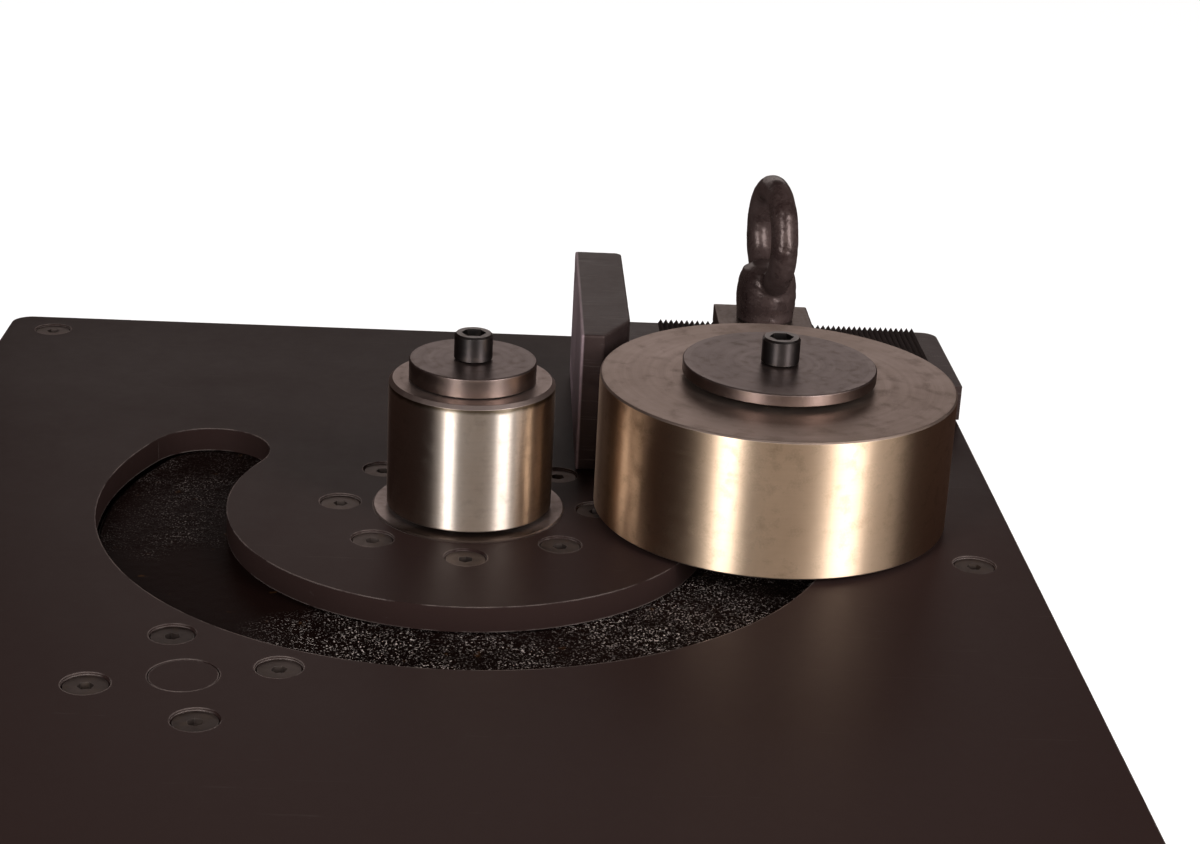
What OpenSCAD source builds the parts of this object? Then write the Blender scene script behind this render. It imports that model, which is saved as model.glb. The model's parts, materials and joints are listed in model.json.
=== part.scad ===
// Heavy table rebar bender.
// Millimetres, +Z up. The origin is on the floor under the middle of the table.
// The bending axis is vertical and stands at axis_x, axis_y. A bar lies between the centre
// roller and the stop bar, and the bending roller swings clockwise round the centre roller.

/* [Table] */
// Width of the table plate
table_w = 876; // [860:1:900]
// Depth of the table plate
table_d = 1040; // [1020:1:1060]
// Thickness of the table plate
table_t = 20; // [18:1:22]
// Height of the table's top face above the floor
table_h = 880; // [840:5:900]
// Radius of the table's corners
corner_r = 18; // [10:1:25]
// Distance of the bending axis from the middle, to the right
axis_x = 6; // [0:1:8]
// Distance of the bending axis from the middle, to the back
axis_y = 85; // [75:1:90]

/* [Rollers] */
// Radius of the circle on which the bending roller swings
orbit_r = 240; // [238:1:242]
// Angle of the bending roller at rest
rest_angle = 2; // [0:0.5:3]
// Radius of the centre roller
centre_roller_r = 65; // [55:1:66]
// Height of the centre roller
centre_roller_h = 103.5; // [100:0.5:104]
// Radius of the bending roller
bending_roller_r = 140.4; // [130:0.1:142]
// Height of the bending roller
bending_roller_h = 110; // [105:0.5:112]

/* [Slot] */
// Width of the curved slot in the table
slot_w = 100; // [98:1:102]
// Angle of the slot's end under the bending roller
slot_start = 4; // [4:0.5:5]
// Angle of the slot's far end, measured the long way round
slot_end = -205; // [-206:0.5:-205]

/* [Back stop] */
// Width of the stop bar
bar_w = 42; // [36:1:44]
// Length of the stop bar
bar_l = 241; // [230:1:242]
// Height of the stop bar
bar_h = 118; // [100:1:120]
// Thickness of the slide under the teeth
slide_t = 32; // [30:1:34]
// Distance from one tooth of the slide to the next
tooth_pitch = 5; // [5:5:5]

/* [Hidden] */
$fn = 72;

e = 0.01;                        // overrun of a cutter past a face
slot_in = orbit_r - slot_w / 2;
slot_out = orbit_r + slot_w / 2;
slot_step = 0.06;                // the slot's ends are this much narrower on the radius
under = table_h - table_t;       // underside of the table

// screws
csk_head_r = 15;                 // M16 countersunk
csk_recess_r = 16.6;
csk_sink = 1.8;                  // how far the head lies under the face
csk_cone_h = 8;
csk_shank_r = 8;
edge_x = 42;                     // perimeter screws from the side edges
edge_y = 36;                     // perimeter screws from the front and back edges
ring_pcr = 101.5;                // screws round the centre ring
housing_pcr = 64;                // screws of the pinion's bearing housing

// centre ring, post and pin
ring_r = 75.5;
ring_proud = 1.5;
ring_bore = 50;
post_flange_r = 122;
post_flange_h = 22;
post_r = 60;
post_h = 98;                     // journal below the flange
pin_shank_r = 30;
pin_journal_r = 35;
centre_base = 3.8;               // centre roller's underside above the table
cap_gap = 0.5;
centre_cap_r = 49.6;
centre_cap_t = 15.6;
run = 0.05;                      // running clearance on a radius

// bending pin and roller
bend_base = 3;
bend_pin_r = 35;
bend_collar_r = 46;
bend_journal_r = 38;
bend_cap_gap = 4;
bend_cap_r = 76.2;
bend_cap_t = 9.5;
m20_r = 10;
m20_head_r = 15;
m20_head_h = 21.3;

// gears
bull_teeth = 60;
bull_module = 10;
pinion_teeth = 12;
gear_c = bull_module * (bull_teeth + pinion_teeth) / 2;
pinion_dir = -120.55;            // direction of the pinion's shaft from the bending axis
inter_teeth = 48;
drive_teeth = 12;
inter_module = 6;
inter_c = inter_module * (inter_teeth + drive_teeth) / 2;
drive_dir = 0;                   // direction of the drive pinion from the pinion's shaft
shaft_x = axis_x + gear_c * cos(pinion_dir);
shaft_y = axis_y + gear_c * sin(pinion_dir);
drive_x = shaft_x + inter_c * cos(drive_dir);
drive_y = shaft_y + inter_c * sin(drive_dir);
gear_top = -50;                  // levels below the table's top face
gear_bottom = -106;
inter_top = -152;
inter_bottom = -182;
plate_top = -230;
plate_t = 12;
cover_top = -24;
cover_t = 5;

// back stop, measured from the bending axis
bar_x = 86.2;
bar_y = 84;
slide_y0 = 236;
slide_y1 = 388;
slide_x1 = table_w / 2 - axis_x + 2.5;
teeth_x0 = 170;
teeth_x1 = 415;
tooth_h = 4;
rub = 0.3;                       // gap under what slides on the table
stud_x = 265.7;
stud_y = 345;
stud_r = 15;
block_w = 88;
block_t = 17.6;
travel = 15;                     // of the slide, each way
washer_t = 1.4;
eye_base = slide_t + tooth_h + block_t + washer_t;
eye_turn = 99;                   // the ring's plane, in degrees from +X
eye_collar_r = 27.9;
eye_side = 1.5;                  // the ring stands this far to the right of the collar
eye_wire = 12.3;
eye_r = 43.7;
eye_lift = 78.5;                 // ring's centre above the nut's underside

// cabinet
frame_x = 398;
frame_y = 480;
tube = 60;
wall = 4;
foot_t = 12;
foot_w = 110;
foot_hole = 18;                  // bolt hole from the foot's outer edges
top_bar_w = 90;
top_bar_h = 40;
top_x = 418;
top_y = 500;
sheet = 2;
panel_z0 = 30;
panel_z1 = under - top_bar_h - 2;
control_z = 700;
dial_x = 80;
start_x = 145;
stop_x = 205;
estop_x = 285;
button_r = 11;
door_w = 620;
door_h = 600;
door_z = 130;
switch_y = -330;
switch_z = 520;
gland_x = -320;
gland_z = 98;

black_brown = [0.13, 0.105, 0.10];
satin_steel = [0.74, 0.68, 0.58];
dark_steel = [0.30, 0.27, 0.26];
bronze = [0.70, 0.50, 0.28];
grey_paint = [0.30, 0.32, 0.34];

// ---------- helpers ----------
module at_axis(z = 0) translate([axis_x, axis_y, table_h + z]) children();
module at_roller(z = 0) at_axis(z) rotate(rest_angle) translate([orbit_r, 0, 0]) children();
module at_shaft(z = 0) translate([shaft_x, shaft_y, table_h + z]) children();
module at_drive(z = 0) translate([drive_x, drive_y, table_h + z]) children();
module ring_of(n, r, turn = 0) for (i = [0:n - 1]) rotate(turn + i * 360 / n) translate([r, 0, 0]) children();
module tube_of(r1, r0, h) difference() {
  cylinder(r = r1, h = h);
  translate([0, 0, -e]) cylinder(r = r0, h = h + 2 * e);
}
module mirrored_xy() for (i = [-1, 1], j = [-1, 1]) scale_sign(i, j) children();
module scale_sign(i, j) mirror([i < 0 ? 1 : 0, 0, 0]) mirror([0, j < 0 ? 1 : 0, 0]) children();
module rounded_rect(w, d, r) union() {
  square([w - 2 * r, d], center = true);
  square([w, d - 2 * r], center = true);
  for (i = [-1, 1], j = [-1, 1]) translate([i * (w / 2 - r), j * (d / 2 - r)]) circle(r);
}
// turned body with a chamfer on its outer edges
module turned(r, h, bore, chamfer) rotate_extrude() polygon([
  [bore, 0], [r - chamfer, 0], [r, chamfer], [r, h - chamfer], [r - chamfer, h], [bore, h]
]);
module socket(af, depth) translate([0, 0, -depth]) cylinder(r = af / sqrt(3), h = depth + 1, $fn = 6);
// countersunk socket screw, its head just under z = 0
module csk_screw(length) translate([0, 0, -csk_sink]) difference() {
  union() {
    translate([0, 0, -csk_cone_h]) cylinder(r1 = csk_shank_r, r2 = csk_head_r, h = csk_cone_h);
    translate([0, 0, -length]) cylinder(r = csk_shank_r, h = length - csk_cone_h + e);
  }
  socket(10, 5);
}
module csk_hole() union() {
  translate([0, 0, -csk_sink]) cylinder(r = csk_recess_r, h = csk_sink + 1);
  translate([0, 0, -csk_sink - csk_cone_h])
    cylinder(r1 = csk_shank_r + 0.4, r2 = csk_recess_r, h = csk_cone_h + e);
  translate([0, 0, -table_t - 1]) cylinder(r = csk_shank_r + 0.4, h = table_t + 1);
}
module cap_screw(length) difference() {
  union() {
    turned(m20_head_r, m20_head_h, 0, 1.6);
    translate([0, 0, -length]) cylinder(r = m20_r, h = length + 1);
  }
  translate([0, 0, m20_head_h]) socket(17, 10);
}

// involute of the base circle: its polar angle at radius r
function roll(rb, r) = let (a = acos(min(1, rb / r))) tan(a) * 180 / PI - a;
function tooth_half(z, m, r, slack) = let (rp = m * z / 2, rb = rp * cos(20))
  90 / z - slack / (2 * rp) * 180 / PI + roll(rb, rp) - roll(rb, max(r, rb));
module gear_2d(z, m, tip, root, slack = 0.35, steps = 4) {
  rp = m * z / 2;
  r1 = rp + tip;
  r0 = rp - root;
  rf = max(r0, rp * cos(20));
  radii = concat([r0], [for (k = [0:steps]) rf + (r1 - rf) * k / steps]);
  n = len(radii);
  polygon([
    for (i = [0:z - 1]) for (s = [-1, 1]) for (k = [0:n - 1])
      let (r = s < 0 ? radii[k] : radii[n - 1 - k],
           a = i * 360 / z + s * tooth_half(z, m, r, slack))
      [r * cos(a), r * sin(a)]
  ]);
}

// ---------- table ----------
module slot_2d() union() {
  difference() {
    circle(slot_out, $fn = 144);
    circle(slot_in, $fn = 144);
    polygon([
      [0, 0], [400 * cos(slot_start), 400 * sin(slot_start)],
      [400 * cos(50), 500], [400 * cos(110), 500],
      [420 * cos(slot_end), 420 * sin(slot_end)]
    ]);
  }
  for (a = [slot_start, slot_end]) rotate(a) translate([orbit_r, 0]) circle(slot_w / 2 - slot_step);
}
module perimeter_spots() {
  mirrored_xy() translate([table_w / 2 - edge_x, table_d / 2 - edge_y, 0]) children();
  for (s = [-1, 1]) translate([s * (table_w / 2 - edge_x), 0, 0]) children();
  for (s = [-1, 1]) translate([0, s * (table_d / 2 - edge_y), 0]) children();
}
module housing_spots() rotate(pinion_dir + 180) ring_of(4, housing_pcr, 45) children();
module guide_spots() {
  for (x = [190, 265, 350]) translate([x, slide_y1 + 12.5, 0]) children();
  for (x = [232, 315, 400]) translate([x, slide_y0 - 12.5, 0]) children();
}
module table_plate() color(black_brown) difference() {
  translate([0, 0, under]) linear_extrude(table_t) rounded_rect(table_w, table_d, corner_r);
  at_axis(-table_t - 1) linear_extrude(table_t + 2) slot_2d();
  at_axis(-table_t - 1) cylinder(r = ring_r, h = table_t + 2);
  at_axis() ring_of(8, ring_pcr) csk_hole();
  at_shaft() housing_spots() csk_hole();
  at_shaft(-table_t - 1) cylinder(r = 24.2, h = table_t + 2);
  translate([0, 0, table_h]) perimeter_spots() csk_hole();
  at_axis(-table_t - 1) translate([stud_x, stud_y, 0]) cylinder(r = stud_r, h = table_t + 2);
  at_axis(-14) guide_spots() cylinder(r = 5, h = 15);
}
module table_screws() color(dark_steel) translate([0, 0, table_h]) perimeter_spots() csk_screw(table_t + 4);
module flange_screws() color(dark_steel) {
  at_axis() ring_of(8, ring_pcr) csk_screw(36);
  at_shaft() housing_spots() csk_screw(36);
}
module shaft_plug() color(black_brown) at_shaft(-table_t) turned(24, table_t - 0.4, 0, 0.8);

// ---------- centre roller and what holds it ----------
module centre_ring() color(satin_steel) at_axis(-table_t)
  turned(ring_r, table_t + ring_proud, ring_bore, 0.8);
module centre_post() color(dark_steel) at_axis(-table_t) difference() {
  union() {
    translate([0, 0, -post_flange_h]) cylinder(r = post_flange_r, h = post_flange_h);
    translate([0, 0, -post_flange_h - post_h]) cylinder(r = post_r, h = post_h + 1);
  }
  translate([0, 0, -post_flange_h - post_h - 1]) cylinder(r = pin_shank_r, h = post_flange_h + post_h + 2);
  translate([0, 0, -post_flange_h - 1]) ring_of(8, ring_pcr) cylinder(r = csk_shank_r, h = post_flange_h + 2);
}
module post_retainer() color(dark_steel) at_axis(-table_t - post_flange_h - post_h - 12) union() {
  cylinder(r = 96, h = 12);
  translate([0, 0, -8]) ring_of(4, 45, 45) cylinder(r = 10, h = 8.5, $fn = 6);
}
module centre_pin() color(satin_steel) at_axis() difference() {
  union() {
    translate([0, 0, -table_t]) cylinder(r = ring_bore - 0.2, h = table_t + centre_base - run);
    translate([0, 0, -table_t - post_flange_h - post_h])
      cylinder(r = pin_shank_r, h = post_flange_h + post_h + 1);
    cylinder(r = pin_journal_r, h = centre_base + centre_roller_h + cap_gap);
  }
  translate([0, 0, 55]) cylinder(r = m20_r, h = 100);
}
module centre_roller() color(satin_steel) at_axis(centre_base)
  turned(centre_roller_r, centre_roller_h, pin_journal_r + 6, 2.4);
module centre_roller_bush() color(bronze) at_axis(centre_base + 1)
  tube_of(pin_journal_r + 6, pin_journal_r + run, centre_roller_h - 2);
module centre_cap() color(dark_steel) at_axis(centre_base + centre_roller_h + cap_gap)
  turned(centre_cap_r, centre_cap_t, m20_r + 0.5, 0.8);
module centre_cap_screw() color(dark_steel) at_axis(centre_base + centre_roller_h + cap_gap + centre_cap_t)
  cap_screw(60);

// ---------- bull gear and bending roller ----------
module bull_gear() color(dark_steel) difference() {
  at_axis() union() {
    translate([0, 0, gear_bottom]) linear_extrude(gear_top - gear_bottom)
      rotate(pinion_dir) difference() {
        gear_2d(bull_teeth, bull_module, 7, 12);
        circle(262, $fn = 144);
      }
    translate([0, 0, -78]) tube_of(264, 90, 18);
    translate([0, 0, -140]) tube_of(96, post_r + 6, 96);
    for (r = [172, 274]) translate([0, 0, -62]) tube_of(r + 8, r - 2, 62 + cover_top - cover_t);
    translate([0, 0, -122]) rotate(rest_angle) translate([orbit_r, 0, 0])
      cylinder(r = bend_collar_r, h = 122 + cover_top - cover_t);
  }
  at_roller(-130) cylinder(r = bend_pin_r, h = 130);
}
module gear_bush() color(bronze) at_axis(-139) tube_of(post_r + 6, post_r + run, 94);
module slot_cover() color(dark_steel) difference() {
  at_axis(cover_top - cover_t) tube_of(slot_out - 1, slot_in - 20, cover_t);
  at_roller(-60) cylinder(r = bend_pin_r, h = 60);
}
module bending_pin() color(satin_steel) at_roller() difference() {
  union() {
    translate([0, 0, -140]) cylinder(r = bend_pin_r, h = 120);
    translate([0, 0, cover_top]) cylinder(r = bend_collar_r, h = bend_base - cover_top - run);
    cylinder(r = bend_journal_r, h = bend_base + bending_roller_h + bend_cap_gap);
  }
  translate([0, 0, 60]) cylinder(r = m20_r, h = 100);
}
module bending_pin_nut() color(dark_steel) at_roller(-140) difference() {
  cylinder(r = 52, h = 18, $fn = 6);
  translate([0, 0, -1]) cylinder(r = bend_pin_r + run, h = 20);
}
module bending_roller() color(satin_steel) at_roller(bend_base)
  turned(bending_roller_r, bending_roller_h, bend_journal_r + 7, 1.6);
module bending_roller_bush() color(bronze) at_roller(bend_base + 1)
  tube_of(bend_journal_r + 7, bend_journal_r + run, bending_roller_h - 2);
module bending_cap() color(dark_steel) at_roller(bend_base + bending_roller_h + bend_cap_gap)
  turned(bend_cap_r, bend_cap_t, m20_r + 0.5, 0.8);
module bending_cap_screw() color(dark_steel)
  at_roller(bend_base + bending_roller_h + bend_cap_gap + bend_cap_t) cap_screw(50);

// ---------- back stop ----------
// one row of ridges, filled below by depth
module ridges_2d(x0, x1, depth) polygon(concat(
  [for (x = [x0:tooth_pitch:x1 - tooth_pitch + e]) each [[x, 0], [x + tooth_pitch / 2, tooth_h]]],
  [[x1, 0], [x1, -depth], [x0, -depth]]
));
module slide_plan_2d() difference() {
  union() {
    translate([bar_x + bar_w, slide_y0]) square([slide_x1 - bar_x - bar_w - 14, slide_y1 - slide_y0]);
    translate([slide_x1 - 20, slide_y0]) square([20, slide_y1 - slide_y0 - 14]);
    translate([slide_x1 - 14, slide_y1 - 14]) circle(14);
  }
  for (s = [-1, 1]) translate([stud_x + s * travel, stud_y]) circle(stud_r + 1);
  translate([stud_x - travel, stud_y - stud_r - 1]) square([2 * travel, 2 * stud_r + 2]);
}
module stop_slide() color(black_brown) at_axis() difference() {
  slide_body();
  translate([0, 0, rub]) bar_screw_spots() cylinder(r = 6, h = bar_w + 31);
}
module slide_body() union() {
  translate([0, 0, rub]) linear_extrude(slide_t - rub) slide_plan_2d();
  intersection() {
    translate([0, slide_y1, slide_t]) rotate([90, 0, 0]) linear_extrude(slide_y1 - slide_y0)
      ridges_2d(teeth_x0, teeth_x1, 1);
    translate([0, 0, slide_t - 1]) linear_extrude(tooth_h + 1) slide_plan_2d();
  }
}
module stop_bar() color(black_brown) at_axis(rub) difference() {
  linear_extrude(bar_h - rub) polygon([
    [bar_x, bar_y], [bar_x + 19, bar_y], [bar_x + bar_w - 1, bar_y + 43], [bar_x + bar_w, bar_y + 47],
    [bar_x + bar_w, bar_y + bar_l - 4], [bar_x + bar_w - 4, bar_y + bar_l], [bar_x, bar_y + bar_l]
  ]);
  bar_screw_spots() translate([0, 0, -e]) cylinder(r = 6.2, h = bar_w + 1);
  bar_screw_spots() translate([0, 0, -1]) cylinder(r = 9.6, h = 14);
}
module bar_screw_spots() for (y = [250, 280, 310]) translate([bar_x, y, 16]) rotate([0, 90, 0]) children();
module stop_bar_screws() color(dark_steel) at_axis(rub) bar_screw_spots() difference() {
  union() {
    translate([0, 0, 1]) cylinder(r = 9, h = 12);
    translate([0, 0, 12.5]) cylinder(r = 6, h = bar_w + 17);
  }
  translate([0, 0, -1]) cylinder(r = 10 / sqrt(3), h = 8, $fn = 6);
}
module clamp_block() color(dark_steel) at_axis(slide_t + tooth_h + run) difference() {
  translate([stud_x - block_w / 2, slide_y1 - block_w, 0]) cube([block_w, block_w, block_t - run]);
  translate([stud_x, stud_y, -1]) cylinder(r = stud_r + 0.5, h = block_t + 2);
}
module clamp_washer() color(dark_steel) at_axis(eye_base - washer_t) translate([stud_x, stud_y, 0])
  tube_of(26, stud_r + 0.5, washer_t);
module eye_nut() color(black_brown) at_axis(eye_base) translate([stud_x, stud_y, 0]) difference() {
  union() {
    cylinder(r = eye_collar_r, h = 26);
    translate([0, 0, 26 - e]) cylinder(r1 = eye_collar_r, r2 = 20, h = 20);
    translate([eye_side, 0, eye_lift]) rotate(eye_turn) rotate([90, 0, 0])
      rotate_extrude() translate([eye_r, 0]) circle(eye_wire);
  }
  translate([0, 0, -1]) cylinder(r = stud_r + 0.05, h = 36);
}
module clamp_stud() color(dark_steel) at_axis(-table_t) translate([stud_x, stud_y, 0])
  turned(stud_r, table_t + eye_base + 30, 0, 1.5);
module slide_guides() color(black_brown) difference() {
  at_axis() union() {
    translate([172, slide_y1 + 0.5, 0]) cube([252, 24, 18]);
    translate([214, slide_y0 - 24.5, 0]) cube([210, 24, 18]);
  }
  at_axis(-1) guide_spots() cylinder(r = 5.5, h = 20);
  at_axis(9) guide_spots() cylinder(r = 8.5, h = 12);
}
module guide_screws() color(dark_steel) at_axis() guide_spots() difference() {
  union() {
    translate([0, 0, 9]) cylinder(r = 8, h = 8);
    translate([0, 0, -14]) cylinder(r = 5, h = 23.5);
  }
  translate([0, 0, 17]) socket(8, 4);
}

// ---------- drive ----------
module pinion_shaft() color(satin_steel) at_shaft() union() {
  translate([0, 0, -108]) linear_extrude(60) rotate(pinion_dir + 180 + 180 / pinion_teeth)
    gear_2d(pinion_teeth, bull_module, 10, 12);
  translate([0, 0, -209]) cylinder(r = 25, h = 162);
  translate([0, 0, -240]) cylinder(r = 20, h = 215);
}
module intermediate_gear() color(dark_steel) at_shaft(inter_bottom) difference() {
  union() {
    linear_extrude(inter_top - inter_bottom) rotate(drive_dir) gear_2d(inter_teeth, inter_module, 4.2, 7.2);
    translate([0, 0, -12]) cylinder(r = 45, h = 14);
  }
  translate([0, 0, -13]) cylinder(r = 25, h = 60);
  translate([0, 0, -1]) ring_of(6, 88) cylinder(r = 24, h = 60);
}
module drive_pinion() color(satin_steel) at_drive() union() {
  translate([0, 0, inter_bottom - 3]) linear_extrude(inter_top - inter_bottom + 6)
    rotate(drive_dir + 180 + 180 / drive_teeth) gear_2d(drive_teeth, inter_module, 6, 7.2);
  translate([0, 0, -240]) cylinder(r = 17, h = 60);
}
module upper_bearing_housing() color(grey_paint) at_shaft(-table_t - 24) difference() {
  rotate(pinion_dir) translate([-60, -60, 0]) cube([120, 120, 24]);
  translate([0, 0, -1]) cylinder(r = 36, h = 20);
  translate([0, 0, -1]) cylinder(r = 24, h = 30);
  translate([0, 0, -1]) housing_spots() cylinder(r = csk_shank_r, h = 30);
}
module shaft_bearings() color(satin_steel) {
  at_shaft(-table_t - 24) tube_of(36, 20 + run, 18);
  at_shaft(plate_top + 2) tube_of(36, 20 + run, 18);
}
module lower_bearing_housing() color(grey_paint) at_shaft(plate_top) difference() {
  union() {
    cylinder(r = 52, h = 22);
    cylinder(r = 80, h = 10);
  }
  translate([0, 0, 2]) cylinder(r = 36, h = 30);
  translate([0, 0, -1]) cylinder(r = 22, h = 30);
}
module mount_plate() color(grey_paint) difference() {
  translate([-frame_x + 1, -400, table_h + plate_top - plate_t]) cube([2 * frame_x - 2, 360, plate_t]);
  at_shaft(plate_top - plate_t - 1) cylinder(r = 22, h = plate_t + 2);
  at_drive(plate_top - plate_t - 1) cylinder(r = 30, h = plate_t + 2);
}
module gearbox_case() color(grey_paint) at_drive(plate_top - plate_t) difference() {
  union() {
    translate([0, 0, -14]) cylinder(r = 105, h = 14);
    translate([0, 0, -118]) cylinder(r = 88, h = 105);
    translate([0, 0, -118]) cylinder(r = 100, h = 14);
    for (a = [0:60:300]) rotate(a) translate([70, -5, -110]) cube([26, 10, 100]);
    translate([0, 0, -1]) cylinder(r = 28, h = 8);
  }
  translate([0, 0, -20]) cylinder(r = 17 + run, h = 40);
}
module motor_body() color(grey_paint) at_drive(plate_top - plate_t - 118) union() {
  translate([0, 0, -14]) cylinder(r = 100, h = 14);
  translate([0, 0, -250]) linear_extrude(238) union() {
    circle(86);
    for (a = [0:12:348]) rotate(a) translate([80, -1.5]) square([24, 3]);
  }
  translate([0, 0, -262]) cylinder(r = 92, h = 14);
}
module fan_cowl() color(black_brown) at_drive(plate_top - plate_t - 118 - 262) difference() {
  translate([0, 0, -70]) cylinder(r = 107, h = 84);
  translate([0, 0, -67]) cylinder(r = 105, h = 90);
  translate([0, 0, -75]) for (r = [30, 48, 66, 84]) ring_of(round(r / 5), r) cylinder(r = 4, h = 12, $fn = 6);
}
module motor_fan() color(dark_steel) at_drive(plate_top - plate_t - 118 - 262 - 50) union() {
  cylinder(r = 26, h = 34);
  for (a = [0:45:315]) rotate(a) translate([20, -1.5, 0]) cube([70, 3, 30]);
}
module terminal_box() color(black_brown) at_drive(plate_top - plate_t - 118 - 150) difference() {
  translate([104.5, -55, 0]) cube([62, 110, 95]);
  translate([140, 0, -1]) cylinder(r = 9, h = 20);
}
module angle_sensor() color(dark_steel) at_axis() rotate(45) union() {
  translate([340, -20, -table_t - 5]) cube([40, 40, 5]);
  translate([345, -20, -95]) difference() {
    cube([5, 40, 72]);
    translate([-1, 20, 20]) rotate([0, 90, 0]) cylinder(r = 9, h = 8);
  }
  translate([309.5, 0, -75]) rotate([0, 90, 0]) cylinder(r = 9, h = 70);
  translate([350, 0, -75]) rotate([0, 90, 0]) cylinder(r = 14, h = 5, $fn = 6);
}

// ---------- frame ----------
// square tube with welded end caps
module box_tube(size) difference() {
  cube(size);
  translate([wall, wall, wall]) cube([for (side = size) side - 2 * wall]);
}
// rectangle of tubes, x and y being half its outer size
module tube_frame(x, y, w, h) {
  for (s = [0, 1]) mirror([s, 0, 0]) translate([x - w, -y, 0]) box_tube([w, 2 * y, h]);
  for (s = [0, 1]) mirror([0, s, 0]) translate([w - x, y - w, 0]) box_tube([2 * x - 2 * w, w, h]);
}
module base_frame() color(black_brown) union() {
  translate([0, 0, foot_t]) tube_frame(frame_x, frame_y, tube, tube);
  mirrored_xy() difference() {
    translate([table_w / 2 - foot_w, table_d / 2 - foot_w, 0]) cube([foot_w, foot_w, foot_t]);
    translate([table_w / 2 - foot_hole, table_d / 2 - foot_hole, -1]) cylinder(r = 9, h = foot_t + 2);
  }
}
module corner_posts() color(black_brown) mirrored_xy()
  translate([frame_x - tube, frame_y - tube, foot_t + tube])
    box_tube([tube, tube, under - top_bar_h - foot_t - tube]);
module top_frame() color(black_brown) difference() {
  translate([0, 0, under - top_bar_h]) tube_frame(top_x, top_y, top_bar_w, top_bar_h);
  translate([0, 0, under - 10]) perimeter_spots() cylinder(r = csk_shank_r + run, h = 11);
}
module mid_rails() color(black_brown) for (s = [0, 1]) mirror([s, 0, 0])
  translate([frame_x - tube, -frame_y + tube, table_h + plate_top - plate_t - tube])
    box_tube([tube, 2 * frame_y - 2 * tube, tube]);

// ---------- covers and controls ----------
module vents(n, w) for (i = [0:n - 1]) translate([-w / 2, 0, i * 22]) cube([w, 20, 7]);
module side_panels() color(black_brown) for (s = [-1, 1]) difference() {
  translate([s > 0 ? frame_x : -frame_x - sheet, -frame_y - sheet, panel_z0])
    cube([sheet, 2 * frame_y + 2 * sheet, panel_z1 - panel_z0]);
  for (y = [-200, 200]) translate([s * frame_x, y, 170]) rotate(90) translate([0, -10, 0]) vents(8, 180);
  if (s > 0) translate([frame_x - 5, switch_y, switch_z]) rotate([0, 90, 0]) cylinder(r = 9 + run, h = 12);
}
module front_panel() color(black_brown) difference() {
  translate([-frame_x, -frame_y - sheet, panel_z0]) cube([2 * frame_x, sheet, panel_z1 - panel_z0]);
  translate([40, -frame_y - sheet - 1, control_z - 55]) cube([300, 5, 110]);
  translate([-180, -frame_y - 10, 170]) vents(8, 240);
  translate([180, -frame_y - 10, 170]) vents(8, 240);
}
module back_panel() color(black_brown) difference() {
  translate([-frame_x, frame_y, panel_z0]) cube([2 * frame_x, sheet, panel_z1 - panel_z0]);
  translate([-door_w / 2 + 25, frame_y - 1, door_z + 25]) cube([door_w - 50, 5, door_h - 50]);
  translate([gland_x, frame_y - 1, gland_z]) rotate([-90, 0, 0]) cylinder(r = 12, h = 5);
}
module hinge_spots() for (z = [door_z + 60, door_z + door_h - 120])
  translate([-door_w / 2 - 8, frame_y + sheet + 7, z]) children();
module door_hinges() color(dark_steel) hinge_spots() union() {
  cylinder(r = 3, h = 60);
  translate([-22, -7, 0]) cube([16.5, 3, 60]);
  for (z = [0, 40 + run]) translate([0, 0, z]) {
    cylinder(r = 5, h = 20 - run);
    translate([-6, -7, 0]) cube([6, 3, 20 - run]);
  }
}
module rear_door() color(black_brown) difference() {
  union() {
    translate([-door_w / 2, frame_y + sheet + 1, door_z]) cube([door_w, 2, door_h]);
    translate([-door_w / 2 + 30, frame_y + sheet + 3 - e, door_z + 30]) cube([door_w - 60, 1.5, door_h - 60]);
    hinge_spots() {
      translate([0, 0, 20]) cylinder(r = 5, h = 20);
      translate([0, -4.5, 20]) cube([20, 3, 20]);
    }
    for (z = [-50, 50]) translate([door_w / 2 - 50, frame_y + sheet + 4, door_z + door_h / 2 + z])
      rotate([-90, 0, 0]) cylinder(r = 5, h = 24);
    translate([door_w / 2 - 50, frame_y + sheet + 27, door_z + door_h / 2 - 65]) cylinder(r = 6, h = 130);
  }
  hinge_spots() cylinder(r = 3 + run, h = 60);
  for (x = [-110, 110]) translate([x, frame_y - 10, door_z + 330]) vents(8, 160);
}
module panel_spots() {
  for (s = [-1, 1], y = [-440, 0, 440], z = [60, panel_z1 - 18])
    translate([s * (frame_x + sheet), y, z]) rotate([0, s * 90, 0]) children();
  for (s = [-1, 1], x = [-360, 0, 360], z = [60, panel_z1 - 18])
    translate([x, s * (frame_y + sheet), z]) rotate([-s * 90, 0, 0]) children();
}
module panel_screws() color(dark_steel) panel_spots() difference() {
  turned(7, 4, 0, 1);
  translate([0, 0, 4]) socket(5, 2.5);
}
module control_panel() color(grey_paint) difference() {
  union() {
    translate([25, -frame_y - sheet - 3, control_z - 70]) cube([330, 3, 140]);
    translate([42, -frame_y - sheet - e, control_z - 53]) cube([296, 70, 106]);
  }
  translate([44, -frame_y - sheet + 1, control_z - 51]) cube([292, 65, 102]);
  for (x = [start_x, stop_x, estop_x]) at_panel(x) translate([0, 0, -10])
    cylinder(r = button_r + run, h = 20);
  at_panel(dial_x) translate([0, 0, -10]) cylinder(r = 5 + run, h = 20);
}
module at_panel(x) translate([x, -frame_y - sheet - 3, control_z]) rotate([90, 0, 0]) children();
module push_button(x) at_panel(x) union() {
  translate([0, 0, -20]) cylinder(r = button_r, h = 22);
  translate([0, 0, 1]) turned(button_r - 1, 9, 0, 1);
}
module start_button() color([0.1, 0.45, 0.2]) push_button(start_x);
module stop_button() color([0.1, 0.1, 0.1]) push_button(stop_x);
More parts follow.
